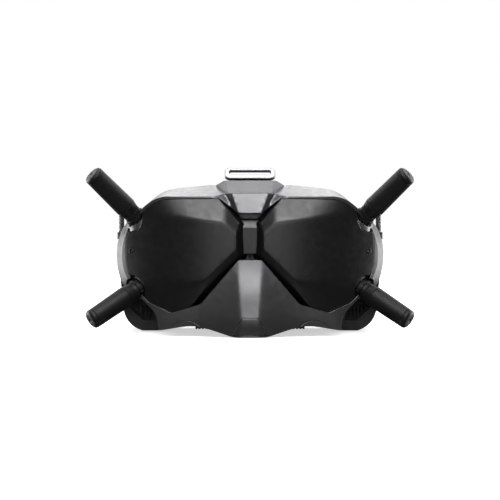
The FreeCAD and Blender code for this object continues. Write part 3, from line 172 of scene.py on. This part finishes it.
# ---------------------------------------------------------------- materials
class Shader:
    """A Principled material, with short ways to add the nodes that drive it."""

    def __init__(self, name, colour, roughness, **values):
        self.material = bpy.data.materials.new(name)
        self.material.use_nodes = True
        self.tree = self.material.node_tree
        self.principled = self.tree.nodes["Principled BSDF"]
        self.set("Base Color", (*colour, 1))
        self.set("Roughness", roughness)
        for socket, value in values.items():
            self.set(socket.replace("_", " "), value)
        self.coordinates = self.tree.nodes.new("ShaderNodeTexCoord").outputs["Object"]
        self.normal = None

    def set(self, socket, value):
        self.principled.inputs[socket].default_value = value

    def node(self, kind, inputs=(), **settings):
        made = self.tree.nodes.new("ShaderNode" + kind)
        for key, value in settings.items():
            setattr(made, key, value)
        for key, value in dict(inputs).items():
            if hasattr(value, "is_output"):
                self.tree.links.new(value, made.inputs[key])
            else:
                made.inputs[key].default_value = value
        return made

    def noise(self, size, detail=2.0, roughness=0.5, distortion=0.0):
        """Noise with features of about that size in metres, centred on 0.5."""
        return self.node("TexNoise", {
            "Vector": self.coordinates, "Scale": 1 / size, "Detail": detail,
            "Roughness": roughness, "Distortion": distortion,
        }).outputs["Fac"]

    def spread(self, value, low, high, start=0.3, end=0.7):
        return self.node("MapRange", {
            "Value": value, "From Min": start, "From Max": end, "To Min": low, "To Max": high,
        }).outputs["Result"]

    def colour_from(self, output):
        self.tree.links.new(output, self.principled.inputs["Base Color"])

    def roughness_from(self, output):
        self.tree.links.new(output, self.principled.inputs["Roughness"])

    def bump(self, value, depth, strength=1.0):
        inputs = {"Height": value, "Distance": depth, "Strength": strength}
        if self.normal is not None:
            inputs["Normal"] = self.normal
        self.normal = self.node("Bump", inputs).outputs["Normal"]
        self.tree.links.new(self.normal, self.principled.inputs["Normal"])

    def round_edges(self, radius):
        """Rounds sharp edges in the shading; the result is 0 on flat places and 1 on an edge."""
        self.normal = self.node("Bevel", {"Radius": radius}, samples=4).outputs["Normal"]
        self.tree.links.new(self.normal, self.principled.inputs["Normal"])
        flat = self.node("NewGeometry").outputs["Normal"]
        along = self.node("VectorMath", {0: self.normal, 1: flat}, operation="DOT_PRODUCT").outputs["Value"]
        return self.spread(along, 1.0, 0.0, 0.8, 0.985)

    def times(self, a, b):
        return self.node("Math", {0: a, 1: b}, operation="MULTIPLY").outputs["Value"]


def mix_sockets(shader, factor, a, b):
    made = shader.tree.nodes.new("ShaderNodeMix")
    made.data_type = "RGBA"
    shader.tree.links.new(factor, made.inputs[0])
    for slot, value in ((6, a), (7, b)):
        if hasattr(value, "is_output"):
            shader.tree.links.new(value, made.inputs[slot])
        else:
            made.inputs[slot].default_value = (*value, 1)
    return made.outputs[2]


def moulded_plastic(name, colour, roughness, grain=0.00022, depth=0.00002, mottle=0.06, edge=0.0005, wear_and_highlight=1.5,
                    **values):
    """Plastic from a textured mould: fine grain, faint unevenness of colour and gloss, and edges painted
    paler, partly as scuffing and partly as a painted highlight.
    """
    shader = Shader(name, colour, roughness, **values)
    near_edge = shader.round_edges(edge)
    cloud = shader.spread(shader.noise(0.012, 3), 0, 1)
    dark, light = ([c * k for c in colour] for k in (1 - mottle, 1 + mottle))
    body = mix_sockets(shader, cloud, dark, light)
    # Paler edges: partly scuffing, partly a painted highlight along the edges.
    rubbed_and_highlit = shader.times(near_edge, shader.spread(shader.noise(0.003, 4, 0.7), 0.1, 1.0, 0.4, 0.6))
    worn_and_highlit = [min(c * wear_and_highlight + 0.004, 1) for c in colour]
    shader.colour_from(mix_sockets(shader, rubbed_and_highlit, body, worn_and_highlit))
    shader.roughness_from(shader.spread(shader.noise(0.004, 3), roughness - 0.04, roughness + 0.05))
    shader.bump(shader.noise(grain, 2), depth)
    return shader.material


def brushed_metal(name, colour, roughness, edge=0.0004, edge_shade=1.3):
    """Metal with fine scratches along X, and edges painted paler where edge_shade is above 1, partly as
    scuffing and partly as a painted highlight, and painted darker where it is below 1, as painted shade.
    """
    shader = Shader(name, colour, roughness, Metallic=1.0)
    near_edge = shader.round_edges(edge)
    squeeze = {"Vector": shader.coordinates, "Scale": (0.04, 1, 1)}
    stretched = shader.node("Mapping", squeeze).outputs["Vector"]
    scratches = shader.node("TexNoise", {"Vector": stretched, "Scale": 6000, "Detail": 3}).outputs["Fac"]
    # Edge colour: painted highlight and scuffing when edge_shade is above 1, painted shade when it is below
    # 1.
    shader.colour_from(mix_sockets(shader, near_edge, colour, [min(c * edge_shade, 1) for c in colour]))
    shader.roughness_from(shader.spread(scratches, roughness - 0.05, roughness + 0.1))
    shader.bump(scratches, 0.000004)
    return shader.material


def knitted_cloth(name, colour):
    """Short brushed pile over foam: small loops with painted shade between them, fuzz that catches the light,
    and scuffed patches.
    """
    shader = Shader(name, colour, 0.92, Sheen_Weight=0.35, Sheen_Roughness=0.5)
    loops = shader.node("TexVoronoi", {"Vector": shader.coordinates, "Scale": 1100}).outputs["Distance"]
    pile = shader.noise(0.0005, 4, 0.7)
    patches = shader.spread(shader.noise(0.02, 3), 0, 1)
    body = mix_sockets(shader, patches, [c * 0.75 for c in colour], [c * 1.35 for c in colour])
    shade_between_loops = shader.spread(loops, 0, 1, 0.1, 0.7)
    # Painted shade: the hollows between the loops are painted darker.
    shader.colour_from(mix_sockets(shader, shade_between_loops, body, [c * 0.4 for c in colour]))
    shader.roughness_from(shader.spread(pile, 0.85, 1.0))
    shader.bump(loops, -0.00012)
    shader.bump(pile, 0.00008)
    return shader.material


def coated_glass(name):
    """Lens glass with a thin coating and faint smears."""
    shader = Shader(name, (0.92, 0.95, 1.0), 0.02, Transmission_Weight=1.0, IOR=1.52)
    shader.set("Thin Film Thickness", 180)
    shader.set("Thin Film IOR", 1.38)
    shader.roughness_from(shader.spread(shader.noise(0.006, 5, 0.6), 0.01, 0.06))
    return shader.material


def printed_board(name, colour):
    """Solder mask over a net of copper tracks."""
    shader = Shader(name, colour, 0.3)
    cells = shader.node("TexVoronoi", {"Vector": shader.coordinates, "Scale": 260}, distance="MANHATTAN",
                        feature="DISTANCE_TO_EDGE").outputs["Distance"]
    track = shader.spread(cells, 1, 0, 0.02, 0.06)
    shader.colour_from(mix_sockets(shader, track, colour, [c * 1.8 + 0.01 for c in colour]))
    shader.roughness_from(shader.spread(shader.noise(0.002, 3), 0.25, 0.4))
    shader.bump(track, 0.00003)
    return shader.material


PAINT = {  # material slot: what makes its material
    "mask_grey": lambda name: moulded_plastic(
        name, (0.125, 0.125, 0.128), 0.34, depth=0.000012, Metallic=0.8),
    "visor_black": lambda name: moulded_plastic(name, (0.0075, 0.0075, 0.008), 0.35, 0.00015, 0.000006),
    "housing_black": lambda name: moulded_plastic(name, (0.016, 0.016, 0.017), 0.5),
    "antenna_black": lambda name: moulded_plastic(
        name, (0.006, 0.006, 0.0062), 0.5, 0.0003, 0.00001, Specular_IOR_Level=0.32),
    "grille_black": lambda name: moulded_plastic(name, (0.004, 0.004, 0.0042), 0.6),
    # The loops' edges are painted nearly black: painted shade along their edges.
    "loop_metal": lambda name: brushed_metal(name, (0.24, 0.24, 0.245), 0.22, edge=0.0011, edge_shade=0.05),
    "loop_black": lambda name: moulded_plastic(name, (0.02, 0.02, 0.02), 0.3),
    "gold": lambda name: brushed_metal(name, (0.75, 0.55, 0.22), 0.25),
    "steel": lambda name: brushed_metal(name, (0.55, 0.55, 0.56), 0.28),
    "screw_black": lambda name: brushed_metal(name, (0.06, 0.06, 0.06), 0.3),
    "board_green": lambda name: printed_board(name, (0.01, 0.09, 0.04)),
    "heat_sink": lambda name: brushed_metal(name, (0.6, 0.6, 0.62), 0.35),
    "fan_black": lambda name: moulded_plastic(name, (0.02, 0.02, 0.02), 0.4),
    "screen": lambda name: moulded_plastic(name, (0.004, 0.004, 0.006), 0.1, depth=0.000001, wear_and_highlight=1.0),
    "port_metal": lambda name: brushed_metal(name, (0.08, 0.08, 0.082), 0.4),
    "port_black": lambda name: moulded_plastic(name, (0.01, 0.01, 0.01), 0.35),
    "display_window": lambda name: moulded_plastic(
        name, (0.008, 0.003, 0.003), 0.08, depth=0.000001, wear_and_highlight=1.0),
    "button_grey": lambda name: moulded_plastic(name, (0.05, 0.05, 0.052), 0.4),
    "foam": lambda name: knitted_cloth(name, (0.02, 0.02, 0.021)),
    "lens_glass": coated_glass,
}


def paint_nodes():
    slots = {part["node"]: part["material_slot"] for part in frame["record"]["subparts"]}
    made = {}
    for name, node in NODES.items():
        slot = slots[name]
        if slot not in made:
            made[slot] = PAINT[slot](slot)
        node.data.materials.clear()
        node.data.materials.append(made[slot])
    return made


# ---------------------------------------------------------------- face pad
PAD_LOW, PAD_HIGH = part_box("face_pad")
PAD_VOXEL = 0.0035
PAD_CLOTH = {
    "quality": 5, "mass": 0.2, "use_pressure": True, "uniform_pressure_force": 4.0,
    "tension_stiffness": 18, "compression_stiffness": 18, "shear_stiffness": 8, "bending_stiffness": 0.6,
}
GLUED_TO, GLUE_FADE = 0.008, 0.005  # the cloth is held up to here from the pad frame, and loosens over that
PAD_CAP = 0.0045  # the furthest that the cloth may move
PAD_SHRINK = 0.0016
PAD_FRAMES = 14  # length of the cloth simulation
SEAM_BACK, SEAM_WIDTH, SEAM_DEPTH = 0.014, 0.0026, 0.0013  # the sewn seam round the pad's side walls
PAD_CURVE = 0.012  # how much further back the pad frame is at its ends than in its middle


def applied(piece):
    """Turns the piece's modifiers into its mesh."""
    graph = bpy.context.evaluated_depsgraph_get()
    mesh = bpy.data.meshes.new_from_object(piece.evaluated_get(graph))
    piece.modifiers.clear()
    piece.data = mesh
    return piece


def shade_smooth(mesh):
    mesh.polygons.foreach_set("use_smooth", [True] * len(mesh.polygons))


def frame_front(x):
    """Depth in Y of the pad frame's rear surface at x, which is where the pad is glued."""
    edge = abs(x) / PAD_HIGH.x
    return PAD_LOW.y + PAD_CURVE * edge * edge


def make_face_pad(foam):
    """Cloth covered foam ring: the plain solid remeshed, smoothed, shrunk, and slightly inflated."""
    source = NODES["face_pad"]
    pad = bpy.data.objects.new("foam_face_pad", source.data.copy())
    bpy.context.scene.collection.objects.link(pad)
    remesh = pad.modifiers.new("remesh", "REMESH")
    remesh.mode, remesh.voxel_size = "VOXEL", PAD_VOXEL
    smooth = pad.modifiers.new("smooth", "SMOOTH")
    smooth.factor, smooth.iterations = 0.5, 4
    shrink = pad.modifiers.new("shrink", "DISPLACE")
    shrink.strength, shrink.mid_level = -PAD_SHRINK, 0.0
    applied(pad)
    before = [vertex.co.copy() for vertex in pad.data.vertices]
    blow_up(pad)
    for vertex, start in zip(pad.data.vertices, before):
        move = vertex.co - start
        if move.length > PAD_CAP:
            vertex.co = start + move * (PAD_CAP / move.length)
    soften = pad.modifiers.new("soften", "SMOOTH")
    soften.factor, soften.iterations = 0.5, 2
    detail = pad.modifiers.new("detail", "SUBSURF")
    detail.levels = detail.render_levels = 1
    applied(pad)
    sew_seam(pad.data)
    shade_smooth(pad.data)
    pad.data.materials.clear()
    pad.data.materials.append(foam)
    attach(pad, "goggles")
    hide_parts("face_pad")


def sew_seam(mesh):
    """Draws the cloth in along a line at a constant height above the pad frame."""
    moves = []
    for vertex in mesh.vertices:
        away = abs(vertex.co.y - frame_front(vertex.co.x) - SEAM_BACK) / SEAM_WIDTH
        moves.append(vertex.normal * (-SEAM_DEPTH * max(1 - away, 0.0) ** 2))
    for vertex, move in zip(mesh.vertices, moves):
        vertex.co += move


def blow_up(pad):
    """Inflates the pad as cloth that is glued to its frame."""
    group = pad.vertex_groups.new(name="glued")
    for vertex in pad.data.vertices:
        weight = min(max((frame_front(vertex.co.x) + GLUED_TO - vertex.co.y) / GLUE_FADE, 0.0), 1.0)
        if weight > 0:
            group.add([vertex.index], weight, "REPLACE")
    cloth = pad.modifiers.new("cloth", "CLOTH").settings
    for key, value in PAD_CLOTH.items():
        setattr(cloth, key, value)
    cloth.effector_weights.gravity = 0
    cloth.vertex_group_mass = "glued"
    scene = bpy.context.scene
    for number in range(1, PAD_FRAMES + 1):
        scene.frame_set(number)
    applied(pad)
    scene.frame_set(1)


make_camera()
make_stage()
materials = paint_nodes()
make_face_pad(materials["foam"])
